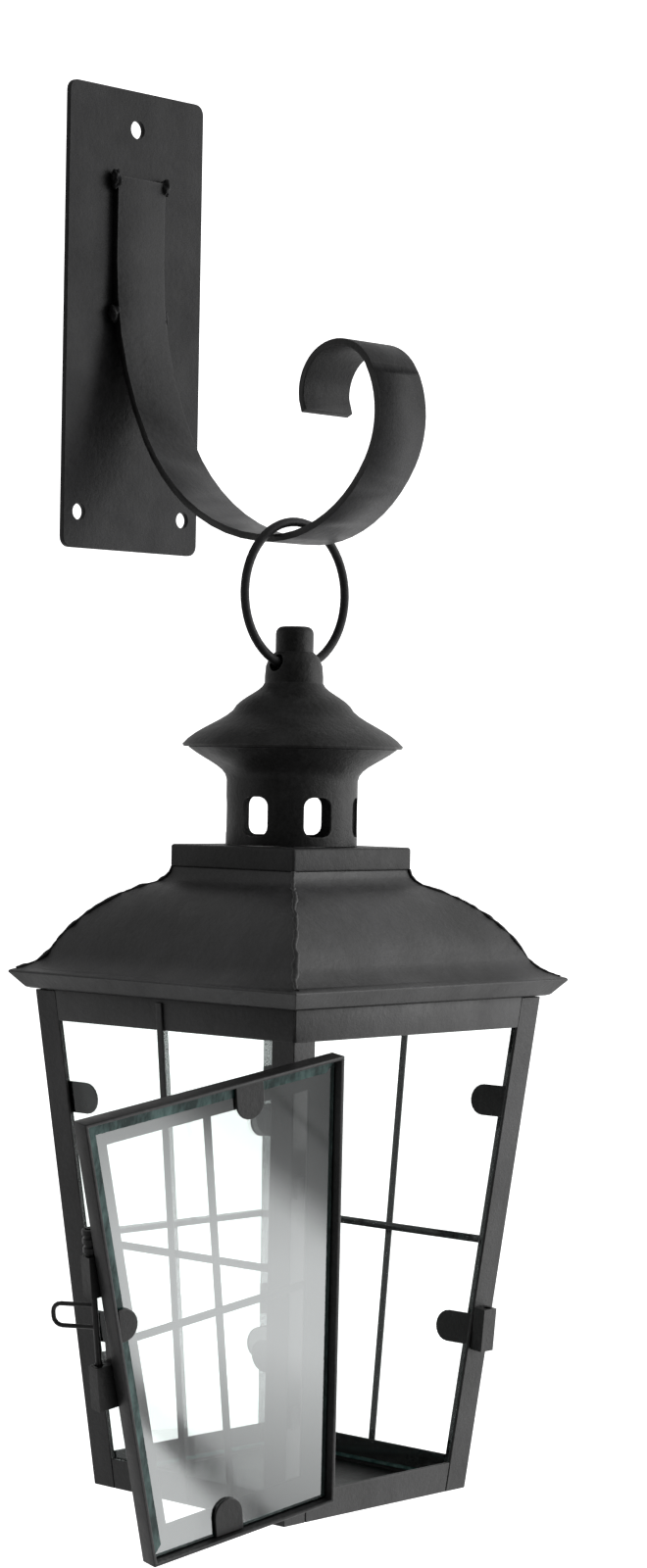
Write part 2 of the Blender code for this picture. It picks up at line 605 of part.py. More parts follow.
def build_latch(iron, front, pivot, closed):
    left, right, bottom, top = LOWER_GUIDE
    neck_left, neck_right, neck_top = GUIDE_NECK
    shoulders = [(neck_right, top), (neck_right, neck_top), (neck_left, neck_top), (neck_left, top)]
    lower = [(left, bottom), (right, bottom), (right, top)] + shoulders + [(left, top)]
    add_guide("latch_guide_upper", box_outline(*UPPER_GUIDE), iron, closed, pivot, sleeved=True)
    add_guide("latch_guide_lower", lower, iron, closed, pivot)
    add_guide("latch_keeper", box_outline(*KEEPER), iron, front)

    slide = bpy.data.objects.new("bolt_slide", None)
    bpy.context.scene.collection.objects.link(slide)
    slide.parent = pivot
    foot = Vector((BOLT_X, up_slope(BOLT_BOTTOM), BOLT_OUT)) * MM
    slide.matrix_local = closed @ Matrix.Translation(foot) @ UPRIGHT
    ends = ((0, 0, 0), (0, 0, up_slope(BOLT_TOP) - up_slope(BOLT_BOTTOM)))
    bolt = cylinder("latch_bolt", BOLT_R, *ends, iron, parent=slide)
    first, last = up_slope(LOOP_TOP), up_slope(LOOP_BOTTOM)
    corners = ((0, first, 0), (LOOP_REACH, first, 0), (LOOP_REACH, last, 0), (0, last, 0))
    raised = closed @ Matrix.Translation((BOLT_X * MM, 0, BOLT_OUT * MM))
    raised = raised @ Matrix.Rotation(radians(-LOOP_TURN), 4, "Y")
    path = rounded_path(corners, LOOP_CORNER_R)
    loop = wire("tool_pull_loop", path, LOOP_WIRE_R, matrix=raised, parent=pivot, helper=True)
    add_boolean(bolt, loop, "UNION")


def main():
    clear_scene()
    iron = make_material("painted_iron", (0.045, 0.046, 0.048), 0.6, 0.5)
    dark_iron = make_material("dark_fittings", (0.02, 0.02, 0.021), 0.6, 0.5)
    glass = make_material("clear_glass", (0.75, 0.85, 0.83), 0.0, 0.05)
    at_axis = Matrix.Translation((0, LANTERN_Y * MM, 0))

    build_plate(iron)
    build_strap(iron)
    build_ring(iron)
    build_cap(iron, at_axis)
    build_chimney(iron, at_axis)
    build_collar(iron, at_axis)
    build_roof(iron, at_axis)
    build_posts(iron)
    for name, turn in (("front", 0), ("right", 90), ("back", 180), ("left", 270)):
        build_rails(iron, name, turn)
    build_floor(iron)
    build_fixed_pane(iron, glass, "right", 90, SIDE_CLIP_Z)
    build_fixed_pane(iron, glass, "back", 180, BACK_CLIP_Z)
    build_fixed_pane(iron, glass, "left", 270, SIDE_CLIP_Z)

    front = side_frame(0)
    pivot, closed = add_door_pivot(front)
    build_door(iron, glass, pivot, closed)
    build_hinges(dark_iron, front, pivot, closed)
    build_latch(dark_iron, front, pivot, closed)


main()
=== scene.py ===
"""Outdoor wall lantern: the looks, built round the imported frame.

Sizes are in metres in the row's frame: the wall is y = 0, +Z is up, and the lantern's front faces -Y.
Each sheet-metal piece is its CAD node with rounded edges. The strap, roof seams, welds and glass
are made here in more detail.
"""

import json
from math import cos, radians, sin

import bmesh
import bpy
from mathutils import Matrix, Vector, noise


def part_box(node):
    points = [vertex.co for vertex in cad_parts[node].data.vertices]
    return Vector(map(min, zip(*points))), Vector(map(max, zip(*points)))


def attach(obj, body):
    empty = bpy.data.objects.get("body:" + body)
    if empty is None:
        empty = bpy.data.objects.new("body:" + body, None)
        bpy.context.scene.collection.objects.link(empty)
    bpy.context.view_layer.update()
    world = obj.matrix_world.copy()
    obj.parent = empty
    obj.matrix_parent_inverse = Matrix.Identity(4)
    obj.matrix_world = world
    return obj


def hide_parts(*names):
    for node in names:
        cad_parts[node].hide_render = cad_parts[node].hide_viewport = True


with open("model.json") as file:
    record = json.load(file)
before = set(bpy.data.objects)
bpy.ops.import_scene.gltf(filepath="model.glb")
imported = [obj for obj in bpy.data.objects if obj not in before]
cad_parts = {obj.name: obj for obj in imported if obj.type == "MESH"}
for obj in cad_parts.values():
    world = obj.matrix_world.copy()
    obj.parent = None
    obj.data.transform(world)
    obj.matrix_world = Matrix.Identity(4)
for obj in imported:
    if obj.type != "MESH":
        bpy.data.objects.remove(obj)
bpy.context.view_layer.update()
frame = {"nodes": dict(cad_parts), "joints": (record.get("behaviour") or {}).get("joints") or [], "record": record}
NODE_BODY = {
    node: body
    for body, nodes in frame["record"]["behaviour"]["bodies"].items()
    for node in nodes
}
NODE_SLOT = {part["node"]: part["material_slot"] for part in frame["record"]["subparts"]}

# Camera: where it stands, and how it looks at the lantern
CAMERA_PLACE = (-1.0230, -1.0757, -0.1895)
CAMERA_YAW, CAMERA_PITCH, CAMERA_ROLL = 0.8193, 0.0069, 0.0176
CAMERA_LENS_MM, CAMERA_SENSOR_MM = 77.985, 36.0

# Studio: directions from the lantern to the dark things that its open door mirrors. A plane holds the
# lantern and a straight thing, and the card is dark on the plane's positive side.
FLOOR_Z = -1.35
CARD_MIDDLE = (0.493, -0.831, -0.256)
CARD_PLANE = Vector((0.476, -0.830, -0.291)).cross(Vector((0.493, -0.816, -0.302)))
STAND_PLANE, STAND_MIDDLE = (0.667, 0.034, 0.744), (0.458, -0.807, -0.373)
ROD_PLANE, ROD_MIDDLE = (0.601, 0.087, 0.795), (0.484, -0.831, -0.276)
FLOOR_SHADE = (0.455, -0.785, -0.415)
BACKGROUND = 1.6  # over 1, so that white ground stays white through the glass

# Sheet metal
THIN_ROUND, THICK_ROUND = 0.0004, 0.0005  # edges of thin and of thick sheet
STRAP_TIP_Y, STRAP_TIP_ROUND = -0.06, 0.0045  # the strap's tip lies further out than this
COLLAR_DROP, COLLAR_ROUND = 0.0008, 0.0012
RAIL_SHIFT, RAIL_OUT, RAIL_RISE = 0.0120, 0.0004, 0.0005
PAINTED_SHADE_RIM = 0.0026  # how far the painted shade at the door frame's upper and lower ends reaches
WELD_HALF = (0.0024, 0.0026, 0.0038)
WELD_INWARDS, WELD_PROUD = 0.0012, 0.0009
HIP_BEAD, HIP_STEP, HIP_LEFT_OFF = 0.0009, 0.0008, 5  # radius, step, and steps left off at the eave

# Panes
ARRIS = 0.0003
# The green border on a pane's broad faces is painted; it stands for the ground edge seen through the glass.
GLASS_BORDER, DOOR_GLASS_BORDER = 0.0013, 0.0056
DOOR_RIM_RIGHT, DOOR_RIM_BELOW = -0.025, 0.07  # the door's rim shows left of one or above the other


# --- Node helpers -------------------------------------------------------------------------------------


def new_material(name):
    material = bpy.data.materials.new(name)
    material.use_nodes = True
    material.node_tree.nodes.clear()
    return material, material.node_tree


def noise_at(tree, coords, scale, detail=4.0, rough=0.55, stretch=(1, 1, 1)):
    mapping = tree.nodes.new("ShaderNodeMapping")
    mapping.inputs["Scale"].default_value = stretch
    tree.links.new(coords, mapping.inputs["Vector"])
    node = tree.nodes.new("ShaderNodeTexNoise")
    tree.links.new(mapping.outputs["Vector"], node.inputs["Vector"])
    node.inputs["Scale"].default_value = scale
    node.inputs["Detail"].default_value = detail
    node.inputs["Roughness"].default_value = rough
    return node.outputs["Fac"]


def ramp(tree, value, low, high, at_low=0.0, at_high=1.0):
    """Maps low..high onto at_low..at_high, held at both ends."""
    node = tree.nodes.new("ShaderNodeMapRange")
    tree.links.new(value, node.inputs["Value"])
    node.inputs["From Min"].default_value = low
    node.inputs["From Max"].default_value = high
    node.inputs["To Min"].default_value = at_low
    node.inputs["To Max"].default_value = at_high
    return node.outputs["Result"]


def maths(tree, operation, a, b=0.0):
    node = tree.nodes.new("ShaderNodeMath")
    node.operation = operation
    for socket, value in zip(node.inputs, (a, b)):
        if isinstance(value, bpy.types.NodeSocket):
            tree.links.new(value, socket)
        else:
            socket.default_value = value
    return node.outputs[0]


def mix_colour(tree, factor, a, b):
    node = tree.nodes.new("ShaderNodeMix")
    node.data_type = "RGBA"
    sockets = (node.inputs[0], node.inputs[6], node.inputs[7])
    for socket, value in zip(sockets, (factor, a, b)):
        if isinstance(value, bpy.types.NodeSocket):
            tree.links.new(value, socket)
        elif isinstance(value, tuple):
            socket.default_value = (*value, 1.0)
        else:
            socket.default_value = value
    return node.outputs[2]


def bump(tree, height, strength, distance, normal=None):
    node = tree.nodes.new("ShaderNodeBump")
    node.inputs["Strength"].default_value = strength
    node.inputs["Distance"].default_value = distance
    tree.links.new(height, node.inputs["Height"])
    if normal:
        tree.links.new(normal, node.inputs["Normal"])
    return node.outputs["Normal"]


def edge_mask(tree, radius):
    """1 along an outer or inner edge, 0 on an even surface."""
    rounded = tree.nodes.new("ShaderNodeBevel")
    rounded.samples = 4
    rounded.inputs["Radius"].default_value = radius
    surface = tree.nodes.new("ShaderNodeNewGeometry")
    dot = tree.nodes.new("ShaderNodeVectorMath")
    dot.operation = "DOT_PRODUCT"
    tree.links.new(rounded.outputs["Normal"], dot.inputs[0])
    tree.links.new(surface.outputs["Normal"], dot.inputs[1])
    return ramp(tree, dot.outputs["Value"], 0.995, 0.90)


# --- Materials ----------------------------------------------------------------------------------------


def painted_iron(
    name, dark, light, worn, rough=0.5, wear=0.5, grain=1.0, streaky=0.45, shine=0.5, painted_light_along=None
):
    """Powder coat on sheet iron: a fine grain, soft cloudy tone, faint rain streaks and paler worn edges, with
    painted shade in crevices.

    Its last argument is (axis, start, end, most): painted light, the colour gets lighter along that axis, from
    start to end.
    """
    material, tree = new_material(name)
    coords = tree.nodes.new("ShaderNodeTexCoord").outputs["Object"]
    clouds = noise_at(tree, coords, 16.0, 5.0, 0.6)
    patches = noise_at(tree, coords, 48.0, 5.0, 0.65)
    streaks = noise_at(tree, coords, 90.0, 4.0, 0.6, (1.0, 1.0, 0.10))
    specks = noise_at(tree, coords, 520.0, 3.0, 0.6)
    pits = noise_at(tree, coords, 1500.0, 2.0, 0.6)

    tone = maths(tree, "ADD", ramp(tree, clouds, 0.33, 0.68), ramp(tree, streaks, 0.45, 0.72, 0.0, streaky))
    tone = maths(tree, "ADD", tone, ramp(tree, patches, 0.38, 0.66, -0.20, 0.25))
    tone = maths(tree, "ADD", tone, ramp(tree, specks, 0.36, 0.68, -0.22, 0.30))
    # Painted light: the colour gets lighter along an axis, standing for more light falling there.
    if painted_light_along:
        axis, start, end, most = painted_light_along
        place = tree.nodes.new("ShaderNodeSeparateXYZ")
        tree.links.new(coords, place.inputs[0])
        tone = maths(tree, "ADD", tone, ramp(tree, place.outputs[axis], start, end, 0.0, most))
    full = 1.4 + (painted_light_along[3] if painted_light_along else 0.0)
    colour = mix_colour(tree, ramp(tree, tone, 0.0, full), dark, light)
    edges = maths(tree, "MULTIPLY", edge_mask(tree, 0.0010), ramp(tree, patches, 0.42, 0.60, 0.15, 1.0))
    scuffs = ramp(tree, noise_at(tree, coords, 85.0, 8.0, 0.75), 0.66, 0.73)
    rubbed = maths(tree, "ADD", edges, maths(tree, "MULTIPLY", scuffs, 0.45))
    colour = mix_colour(tree, maths(tree, "MULTIPLY", rubbed, wear), colour, worn)

    # Painted shade: the colour goes towards black in crevices, under overhangs and between parts, where ambient
    # occlusion finds them.
    shade_occlusion = tree.nodes.new("ShaderNodeAmbientOcclusion")
    shade_occlusion.samples = 6
    shade_occlusion.inputs["Distance"].default_value = 0.03
    painted_shade_factor = ramp(tree, shade_occlusion.outputs["AO"], 0.25, 0.85, 0.25, 1.0)
    colour = mix_colour(tree, painted_shade_factor, (0.0, 0.0, 0.0), colour)

    shader = tree.nodes.new("ShaderNodeBsdfPrincipled")
    shader.inputs["Metallic"].default_value = 0.0
    shader.inputs["Specular IOR Level"].default_value = shine
    tree.links.new(colour, shader.inputs["Base Color"])
    gloss = ramp(tree, maths(tree, "ADD", patches, maths(tree, "MULTIPLY", specks, 0.5)), 0.5, 1.05)
    tree.links.new(ramp(tree, gloss, 0.0, 1.0, rough - 0.09, rough + 0.12), shader.inputs["Roughness"])
    normal = bump(tree, pits, 0.35 * grain, 0.00015)
    normal = bump(tree, specks, 0.45 * grain, 0.00030, normal)
    normal = bump(tree, patches, 0.30 * grain, 0.0009, normal)
    normal = bump(tree, clouds, 0.30, 0.0020, normal)
    tree.links.new(normal, shader.inputs["Normal"])
    output = tree.nodes.new("ShaderNodeOutputMaterial")
    tree.links.new(shader.outputs[0], output.inputs["Surface"])
    return material


def clear_glass(name, mirror):
    """A pane's broad faces: see-through, with a mirror layer that grows towards a grazing view."""
    material, tree = new_material(name)
    coords = tree.nodes.new("ShaderNodeTexCoord").outputs["Object"]
    clear = tree.nodes.new("ShaderNodeBsdfTransparent")
    clear.inputs["Color"].default_value = (0.975, 0.99, 0.985, 1.0)
    gloss = tree.nodes.new("ShaderNodeBsdfPrincipled")
    gloss.inputs["Base Color"].default_value = (0.93, 0.96, 0.96, 1.0)
    gloss.inputs["Metallic"].default_value = 1.0
    smear = noise_at(tree, coords, 30.0, 5.0, 0.6, (1.0, 1.0, 0.4))
    tree.links.new(ramp(tree, smear, 0.35, 0.75, 0.02, 0.07), gloss.inputs["Roughness"])
    fresnel = tree.nodes.new("ShaderNodeFresnel")
    fresnel.inputs["IOR"].default_value = 1.45
    share = maths(tree, "ADD", maths(tree, "MULTIPLY", fresnel.outputs[0], 1.6), mirror)
    inside = tree.nodes.new("ShaderNodeNewGeometry").outputs["Backfacing"]
    share = maths(tree, "MULTIPLY", share, maths(tree, "SUBTRACT", 1.0, inside))
    mixed = tree.nodes.new("ShaderNodeMixShader")
    tree.links.new(maths(tree, "MINIMUM", share, 1.0), mixed.inputs[0])
    tree.links.new(clear.outputs[0], mixed.inputs[1])
    tree.links.new(gloss.outputs[0], mixed.inputs[2])
    output = tree.nodes.new("ShaderNodeOutputMaterial")
    tree.links.new(mixed.outputs[0], output.inputs["Surface"])
    return material


def glass_edge(name, deep, pale):
    """The ground edge of a pane, where the glass shows its green; its pale specks are painted glints."""
    material, tree = new_material(name)
    coords = tree.nodes.new("ShaderNodeTexCoord").outputs["Object"]
    chips_and_glints = noise_at(tree, coords, 210.0, 4.0, 0.6, (1.0, 1.0, 0.35))
    # Painted glints: the pale specks on the deep green stand for light caught in the ground edge.
    colour = mix_colour(tree, ramp(tree, chips_and_glints, 0.40, 0.82), deep, pale)
    shader = tree.nodes.new("ShaderNodeBsdfPrincipled")
    tree.links.new(colour, shader.inputs["Base Color"])
    shader.inputs["Roughness"].default_value = 0.22
    tree.links.new(bump(tree, chips_and_glints, 0.5, 0.0003), shader.inputs["Normal"])
    output = tree.nodes.new("ShaderNodeOutputMaterial")
    tree.links.new(shader.outputs[0], output.inputs["Surface"])
    return material


def studio_white(name, shade):
    """White where it is seen, and a matt grey where it sends light back."""
    material, tree = new_material(name)
    seen = tree.nodes.new("ShaderNodeEmission")
    seen.inputs["Color"].default_value = (1.0, 1.0, 1.0, 1.0)
    seen.inputs["Strength"].default_value = BACKGROUND
    matt = tree.nodes.new("ShaderNodeBsdfDiffuse")
    matt.inputs["Color"].default_value = (shade, shade, shade, 1.0)
    path = tree.nodes.new("ShaderNodeLightPath")
    mixed = tree.nodes.new("ShaderNodeMixShader")
    tree.links.new(path.outputs["Is Camera Ray"], mixed.inputs[0])
    tree.links.new(matt.outputs[0], mixed.inputs[1])
    tree.links.new(seen.outputs[0], mixed.inputs[2])
    output = tree.nodes.new("ShaderNodeOutputMaterial")
    tree.links.new(mixed.outputs[0], output.inputs["Surface"])
    return material


# --- Mesh helpers -------------------------------------------------------------------------------------


def finish_mesh(name, bm, materials, angle=35.0):
    bmesh.ops.recalc_face_normals(bm, faces=bm.faces)
    mesh = bpy.data.meshes.new(name)
    bm.to_mesh(mesh)
    bm.free()
    for material in materials:
        mesh.materials.append(material)
    mesh.shade_smooth()
    mesh.set_sharp_from_angle(angle=radians(angle))
    obj = bpy.data.objects.new(name, mesh)
    bpy.context.scene.collection.objects.link(obj)
    return obj


def carry(obj, node):
    """The piece rides with the node."""
    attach(obj, NODE_BODY[node])
    return obj


def stand_for(obj, node):
    """The piece stands for the node."""
    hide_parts(node)
    return carry(obj, node)


def node_bmesh(node):
    """The node's faces, joined up and with flat ones made whole."""
    bm = bmesh.new()
    bm.from_mesh(frame["nodes"][node].data)
    bmesh.ops.remove_doubles(bm, verts=bm.verts, dist=2e-6)
    bmesh.ops.dissolve_limit(bm, angle_limit=radians(0.8), verts=bm.verts, edges=bm.edges)
    return bm


def bevel(bm, edges, width, segments):
    bmesh.ops.bevel(
        bm, geom=edges, offset=width, offset_type="OFFSET", segments=segments, profile=0.5,
        affect="EDGES", clamp_overlap=True,
    )


def round_edges(bm, width, least_angle, segments=2):
    edges = [edge for edge in bm.edges if edge.calc_face_angle(0.0) > radians(least_angle)]
    bevel(bm, edges, width, segments)


def refine(node, material):
    """The node again, with its edges rounded as bent and cut sheet has them."""
    bm = node_bmesh(node)
    round_edges(bm, THIN_ROUND, 30.0)
    obj = finish_mesh(node + "_fine", bm, [material], 40.0)
    weighted = obj.modifiers.new("even_shading", "WEIGHTED_NORMAL")
    weighted.keep_sharp = True
    return stand_for(obj, node)


# --- Glass --------------------------------------------------------------------------------------------


def build_pane(node, clear, edge, border, sided=False):
    """A pane with arrised edges: broad clear faces, and a green rim painted a little way in on them, which stands
    for the ground edge seen through the glass.

    A sided pane shows its rim on its upper and left edges only, as the door's does.
    """
    bm = node_bmesh(node)
    round_edges(bm, ARRIS, 60.0, 1)
    for face in bm.faces:
        face.material_index = 1
    broad = sorted(bm.faces, key=lambda face: face.calc_area())[-2:]
    middle = (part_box(node)[0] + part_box(node)[1]) / 2
    # Painted look of the edge: the green strips on the broad faces stand for the ground edge seen through the
    # glass.
    strips = bmesh.ops.inset_individual(bm, faces=broad, thickness=border)["faces"]
    for strip in strips:
        away = strip.calc_center_median() - middle
        if sided and away.x > DOOR_RIM_RIGHT and away.z < DOOR_RIM_BELOW:
            strip.material_index = 0
    for face in broad:
        face.material_index = 0
    obj = finish_mesh(node + "_pane", bm, [clear, edge], 20.0)
    return stand_for(obj, node)


# --- Pieces with more detail than the frame's -----------------------------------------------------------


def middle_of(edge):
    return (edge.verts[0].co + edge.verts[1].co) / 2


def refine_strap(material, dark):
    """The strap, with its tip's corners and its curl's short rim edges all cut back by about 0.3 mm.

    The short edges hold the width that far below STRAP_TIP_ROUND. The strap's sides take the near-black iron as
    painted shade.
    """
    bm = node_bmesh("hook_strap")
    ends = [
        face for face in bm.faces
        if abs(face.normal.x) < 0.1 and face.calc_center_median().y < STRAP_TIP_Y
        and all(edge.calc_face_angle(0.0) > radians(60) for edge in face.edges)
    ]
    tip = min(ends, key=lambda face: face.calc_area()).calc_center_median()
    creases = [
        edge for edge in bm.edges
        if edge.calc_face_angle(0.0) < radians(40) and edge.calc_length() > 0.010
        and (tip - middle_of(edge)).length < STRAP_TIP_ROUND + 0.001
    ]
    bmesh.ops.dissolve_edges(bm, edges=creases, use_verts=True)
    short_edges = [
        edge for edge in bm.edges
        if edge.calc_face_angle(0.0) > radians(70) and edge.calc_length() < 0.0034
        and middle_of(edge).y < STRAP_TIP_Y
    ]
    bevel(bm, short_edges, STRAP_TIP_ROUND, 6)
    round_edges(bm, THICK_ROUND, 40.0)
    # Painted shade: the strap's sides take the near-black iron.
    for face in bm.faces:
        face.material_index = 1 if abs(face.normal.x) > 0.6 else 0
    obj = finish_mesh("hook_strap_fine", bm, [material, dark], 40.0)
    return stand_for(obj, "hook_strap")


def refine_door_frame(material, dark):
    """The door's frame, with painted shade: near-black on its upper and lower outer edges."""
    bm = node_bmesh("door_frame")
    round_edges(bm, THIN_ROUND, 30.0)
    up = Vector(next(joint["axis"] for joint in frame["joints"] if joint["name"] == "bolt_drop"))
    heights = [vert.co.dot(up) for vert in bm.verts]
    # Painted shade: faces near the frame's upper and lower ends take the near-black iron.
    for face in bm.faces:
        height = face.calc_center_median().dot(up)
        face.material_index = 1 if min(height - min(heights), max(heights) - height) < PAINTED_SHADE_RIM else 0
    obj = finish_mesh("door_frame_fine", bm, [material, dark], 40.0)
    return stand_for(obj, "door_frame")


def refine_collar(material):
    """The collar is folded from sheet, so its outer edges are round."""
    bm = node_bmesh("roof_collar")
    low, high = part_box("roof_collar")
    for vert in bm.verts:
        if vert.co.z < low.z + 0.0005:
            vert.co.z -= COLLAR_DROP

    def on_rim(place):
        away = max(low.x - place.x, place.x - high.x, low.y - place.y, place.y - high.y)
        return away > -0.0003

    outer = [
        edge for edge in bm.edges
        if edge.calc_face_angle(0.0) > radians(60) and all(on_rim(vert.co) for vert in edge.verts)
    ]
    bevel(bm, outer, COLLAR_ROUND, 4)
    round_edges(bm, THICK_ROUND, 40.0)
    obj = finish_mesh("roof_collar_fine", bm, [material], 40.0)
    return stand_for(obj, "roof_collar")


def refine_weld(node, material):
    """A tack weld: a lumpy bead that runs on to the strap's face."""
    low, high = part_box(node)
    middle = (low + high) / 2
    inwards = -1.0 if middle.x > 0 else 1.0
    bm = bmesh.new()
    bmesh.ops.create_icosphere(bm, subdivisions=4, radius=1.0)
    for vert in bm.verts:
        lump = 1.0 + 0.34 * noise.noise(vert.co * 1.7 + Vector((middle.x, middle.z, 0)) * 900)
        lump += 0.12 * noise.noise(vert.co * 5.0 + Vector((middle.z, 0, middle.x)) * 700)
        size = Vector(WELD_HALF) * lump
        vert.co = Vector((vert.co.x * size.x, vert.co.y * size.y, vert.co.z * size.z))
        vert.co += middle + Vector((inwards * WELD_INWARDS, -WELD_PROUD, 0))
    obj = finish_mesh(node + "_bead", bm, [material], 80.0)
    return stand_for(obj, node)


def solder_bead(name, points, radius, material, node):
    """A thin uneven run of solder along one of the node's seams."""
    bm = bmesh.new()
    rings = []
    for i, here in enumerate(points):
        along = (points[min(i + 1, len(points) - 1)] - points[max(i - 1, 0)]).normalized()
        side = along.cross(Vector((0.0, 0.0, 1.0))).normalized()
        out = side.cross(along)
        size = radius * (1.0 + 0.95 * noise.noise(here * 160) + 0.65 * noise.noise(here * 420))
        here = here + side * radius * 0.9 * noise.noise(here * 210 + Vector((7, 3, 5)))
        ring = [
            bm.verts.new(here + size * (cos(radians(a)) * side + 0.6 * sin(radians(a)) * out))
            for a in range(0, 360, 36)
        ]
        rings.append(ring)
    for here, after in zip(rings, rings[1:]):
        for k in range(len(here)):
            bm.faces.new((here[k], here[k - 1], after[k - 1], after[k]))
    bm.faces.new(rings[0])
    bm.faces.new(rings[-1][::-1])
    return carry(finish_mesh(name, bm, [material], 80.0), node)


def along_path(points, step):
    """The same path with a point every step."""
    out = [points[0]]
    for here, after in zip(points, points[1:]):
        count = max(1, round((after - here).length / step))
        out += [here.lerp(after, k / count) for k in range(1, count + 1)]
    return out


def hip_lines():
    """The four hips of the roof, each from the collar down to the eave."""
    low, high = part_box("roof")
    middle = (low + high) / 2
    lines = []
    for sx in (-1, 1):
        for sy in (-1, 1):
            found = {}
            for vert in frame["nodes"]["roof"].data.vertices:
                x, y, z = vert.co.x - middle.x, vert.co.y - middle.y, vert.co.z
                if x * sx > 0 and abs(x * sx - y * sy) < 0.00004:
                    key = round(z, 5)
                    if key not in found or x * sx > found[key].x * sx:
                        found[key] = vert.co.copy()
            heights = sorted(found, reverse=True)
            line = [found[heights[0]]]
            for key in heights[1:]:
                if (found[key].x - middle.x) * sx > (line[-1].x - middle.x) * sx:
                    line.append(found[key])
            lines.append(line)
    return lines


def refine_rail(node, material, axis):
    """A top rail that runs on over the near corner post up to the corner, so the band reads as one sheet."""
    bm = node_bmesh(node)
    low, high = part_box(node)
    middle = (low + high) / 2
    for vert in bm.verts:
        if vert.co[axis] < middle[axis] - 0.02:
            vert.co[axis] -= RAIL_SHIFT
        if vert.co.z > high.z - 0.003:
            vert.co.z += RAIL_RISE
        vert.co[1 - axis] -= RAIL_OUT
    round_edges(bm, THIN_ROUND, 30.0)
    obj = finish_mesh(node + "_fine", bm, [material], 40.0)
    return stand_for(obj, node)


# --- Build --------------------------------------------------------------------------------------------


IRON = painted_iron("iron", (0.018, 0.018, 0.0175), (0.062, 0.062, 0.064), (0.19, 0.19, 0.19))
CAP = painted_iron(
    "cap_iron", (0.013, 0.013, 0.0125), (0.046, 0.046, 0.046), (0.13, 0.13, 0.13),
    grain=1.6, streaky=0.5, shine=0.28,
)
COLLAR = painted_iron(
    "collar_iron", (0.013, 0.013, 0.0125), (0.044, 0.044, 0.045), (0.13, 0.13, 0.13),
    rough=0.52, grain=1.3, streaky=0.4, shine=0.30,
)
# Painted light: the wall plate and ring get lighter towards the bottom, as if lit more from below.
BRACKET = painted_iron(
    "bracket_iron", (0.010, 0.010, 0.0105), (0.050, 0.050, 0.052), (0.10, 0.10, 0.10),
    rough=0.48, wear=0.4, streaky=0.2, shine=0.16, painted_light_along=("Z", 0.02, -0.10, 1.0),
)
# Painted light: the strap gets much lighter towards its lower end, where it faces the bright floor.
STRAP = painted_iron(
    "strap_iron", (0.009, 0.009, 0.0095), (0.135, 0.135, 0.138), (0.16, 0.16, 0.16),
    rough=0.46, streaky=0.3, shine=0.16, painted_light_along=("Z", -0.045, -0.100, 3.4),
)
# Near-black iron for the dark fittings; it is also laid on the strap's sides and the door frame's ends as painted
# shade.
DARK = painted_iron("dark_iron", (0.006, 0.006, 0.006), (0.018, 0.018, 0.018), (0.07, 0.07, 0.07), 0.45)
CLEAR = clear_glass("pane_clear", 0.0)
DOOR_CLEAR = clear_glass("door_pane_clear", 0.34)
EDGE = glass_edge("glass_edge", (0.045, 0.115, 0.105), (0.22, 0.36, 0.34))
DOOR_EDGE = glass_edge("door_glass_edge", (0.010, 0.035, 0.032), (0.20, 0.34, 0.32))

PANES = ("glass_left", "glass_right", "glass_back")
DARK_NODES = [node for node in NODE_SLOT if NODE_SLOT[node] == "dark_fittings" or "_clip_" in node]
BRACKET_NODES = ("wall_plate", "hanging_ring")
CAP_NODES = ("finial_cap", "vented_chimney")

for node in sorted(NODE_SLOT):
    if node in PANES:
        build_pane(node, CLEAR, EDGE, GLASS_BORDER)
    elif node == "door_glass":
        build_pane(node, DOOR_CLEAR, DOOR_EDGE, DOOR_GLASS_BORDER, True)
    elif node == "door_frame":
        refine_door_frame(IRON, DARK)
    elif node == "floor_plate":
        refine(node, CAP)
    elif node == "hook_strap":
        refine_strap(STRAP, DARK)
    elif node == "roof_collar":
        refine_collar(COLLAR)
    elif node == "top_rail_front":
        refine_rail(node, IRON, 0)
    elif node == "top_rail_left":
        refine_rail(node, IRON, 1)
    elif node.startswith("strap_weld"):
        refine_weld(node, BRACKET)
    elif node in DARK_NODES:
        refine(node, DARK)
    elif node in BRACKET_NODES:
        refine(node, BRACKET)
    elif node in CAP_NODES:
        refine(node, CAP)
    else:
        refine(node, IRON)
for number, line in enumerate(hip_lines()):
    solder_bead(f"roof_hip_{number}", along_path(line, HIP_STEP)[:-HIP_LEFT_OFF], HIP_BEAD, IRON, "roof")


# --- Stage --------------------------------------------------------------------------------------------


def add_camera():
    right = Vector((cos(CAMERA_YAW), -sin(CAMERA_YAW), 0.0))
    level = Vector((sin(CAMERA_YAW), cos(CAMERA_YAW), 0.0))
    ahead = cos(CAMERA_PITCH) * level - sin(CAMERA_PITCH) * Vector((0.0, 0.0, 1.0))
    up = right.cross(ahead)
    turned = cos(CAMERA_ROLL) * right + sin(CAMERA_ROLL) * up
    turned_up = -sin(CAMERA_ROLL) * right + cos(CAMERA_ROLL) * up
    data = bpy.data.cameras.new("camera")
    data.sensor_width = CAMERA_SENSOR_MM
    data.lens = CAMERA_LENS_MM
    data.clip_start, data.clip_end = 0.01, 50.0
    camera = bpy.data.objects.new("camera", data)
    turn = Matrix((turned, turned_up, -ahead)).transposed().to_4x4()
    camera.matrix_world = Matrix.Translation(CAMERA_PLACE) @ turn
    bpy.context.scene.collection.objects.link(camera)
    bpy.context.scene.camera = camera


